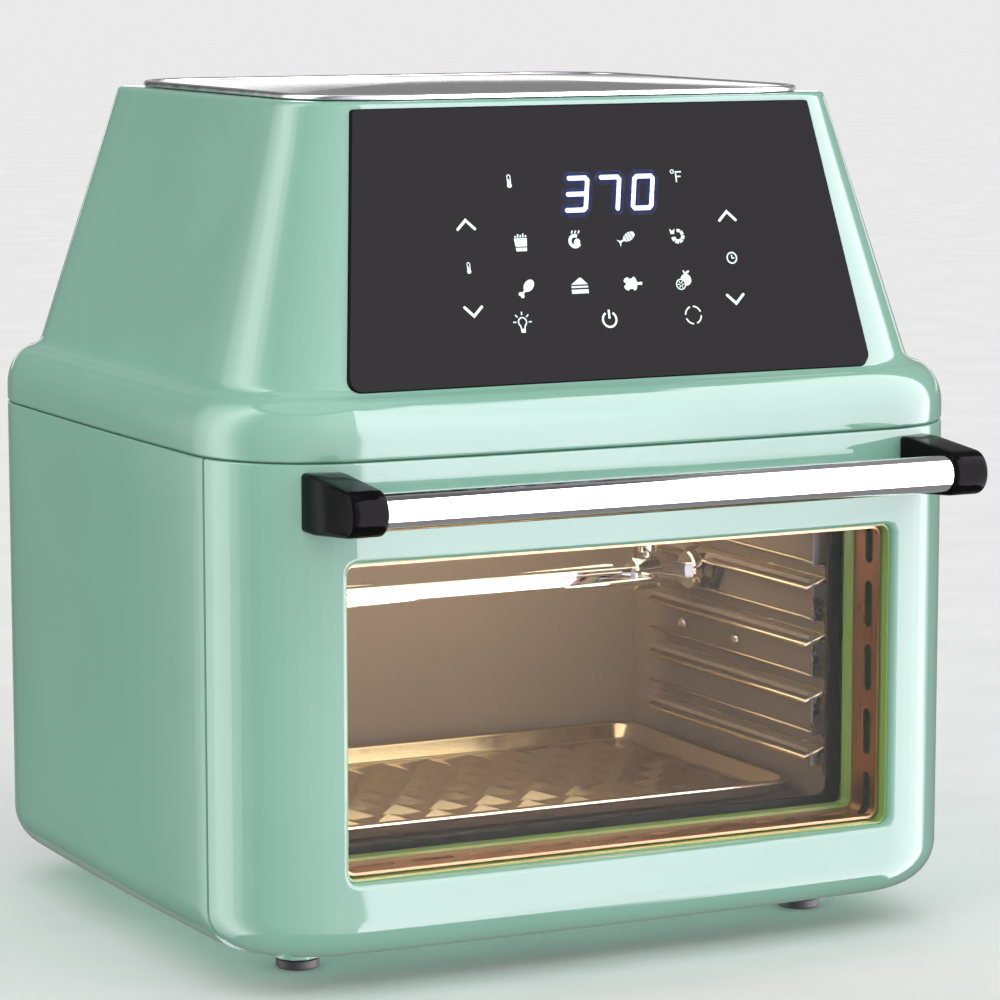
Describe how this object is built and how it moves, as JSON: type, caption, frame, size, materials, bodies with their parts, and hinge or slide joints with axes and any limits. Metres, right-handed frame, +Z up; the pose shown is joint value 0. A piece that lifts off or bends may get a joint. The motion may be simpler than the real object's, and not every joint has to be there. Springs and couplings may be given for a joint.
{
  "type": "toaster oven",
  "caption": "Countertop air-fryer oven with a drop-down glass door, rotisserie spit, drip tray and a touch panel on a tapered top.",
  "frame": {"origin": "on the surface the feet stand on, under the middle of the whole object's box, handle included", "axes": "+Z up, the door faces -Y, +X to the right seen from the front"},
  "size_m": [0.38, 0.3874, 0.3961],
  "materials": {
    "mint_shell": "glossy mint moulding",
    "cover_plate": "dark brushed plate with a bright rim",
    "panel_glass": "smoked gloss panel",
    "dark_plastic": "satin",
    "black_plastic": "gloss black",
    "circuit_board": "green laminate",
    "door_glass": "clear",
    "lamp_glass": "warm clear",
    "chrome": "polished",
    "steel": "plain sheet",
    "liner_steel": "bright sheet, warm from the lamp",
    "rubber": "matt",
    "aluminium": "satin",
    "heater": "dark oxidised sheath",
    "motor": "zinc plated",
    "ceramic": "unglazed"
  },
  "bodies": {
    "oven_body": {"top_hood": "mint_shell", "top_cover": "cover_plate", "control_panel_glass": "panel_glass", "display_module": "dark_plastic", "control_board": "circuit_board", "exhaust_grille": "dark_plastic", "body_shell": "mint_shell", "rear_cover": "dark_plastic", "rear_screw_left": "steel", "rear_screw_right": "steel", "cord_gland": "black_plastic", "base_plate": "mint_shell", "foot_front_left": "rubber", "foot_front_right": "rubber", "foot_back_left": "rubber", "foot_back_right": "rubber", "chassis_deck": "aluminium", "door_switch": "dark_plastic", "hinge_bracket_left": "steel", "hinge_bracket_right": "steel", "cavity_liner": "liner_steel", "front_flange": "liner_steel", "door_gasket": "rubber", "rack_guide_left": "liner_steel", "rack_guide_right": "liner_steel", "drip_tray": "liner_steel", "spit_support": "steel", "rotisserie_motor": "motor", "motor_screw_front": "chrome", "motor_screw_back": "chrome", "heating_element": "heater", "heater_guard": "steel", "fan_housing": "steel", "fan_motor": "motor", "lamp_lens": "lamp_glass", "lamp_bulb": "lamp_glass", "lamp_socket": "ceramic", "temperature_sensor": "steel", "power_board": "circuit_board"},
    "door": {"door_shell": "mint_shell", "door_outer_glass": "door_glass", "door_inner_glass": "door_glass", "door_inner_frame": "steel", "door_back_panel": "steel", "hinge_pin_left": "steel", "hinge_pin_right": "steel", "handle_bracket_left": "black_plastic", "handle_bracket_right": "black_plastic", "handle_screw_left": "steel", "handle_screw_right": "steel", "handle_tube": "chrome"},
    "spit": {"spit_shaft": "chrome", "spit_drive_socket": "chrome", "spit_fork_left": "chrome", "spit_fork_right": "chrome", "fork_screw_left": "chrome", "fork_screw_right": "chrome"},
    "fan": {"convection_fan": "aluminium", "cooling_fan": "aluminium", "fan_shaft": "steel"}
  },
  "joints": [
    {"name": "door_hinge", "type": "hinge", "parent": "oven_body", "child": "door", "pos_m": [0, -0.1195, 0.035], "axis": [1, 0, 0], "range_deg": [0, 75]},
    {"name": "spit_spin", "type": "hinge", "parent": "oven_body", "child": "spit", "pos_m": [0, 0.0175, 0.1524], "axis": [1, 0, 0], "continuous": true},
    {"name": "fan_spin", "type": "hinge", "parent": "oven_body", "child": "fan", "pos_m": [0, 0.0015, 0.242], "axis": [0, 0, 1], "continuous": true}
  ]
}
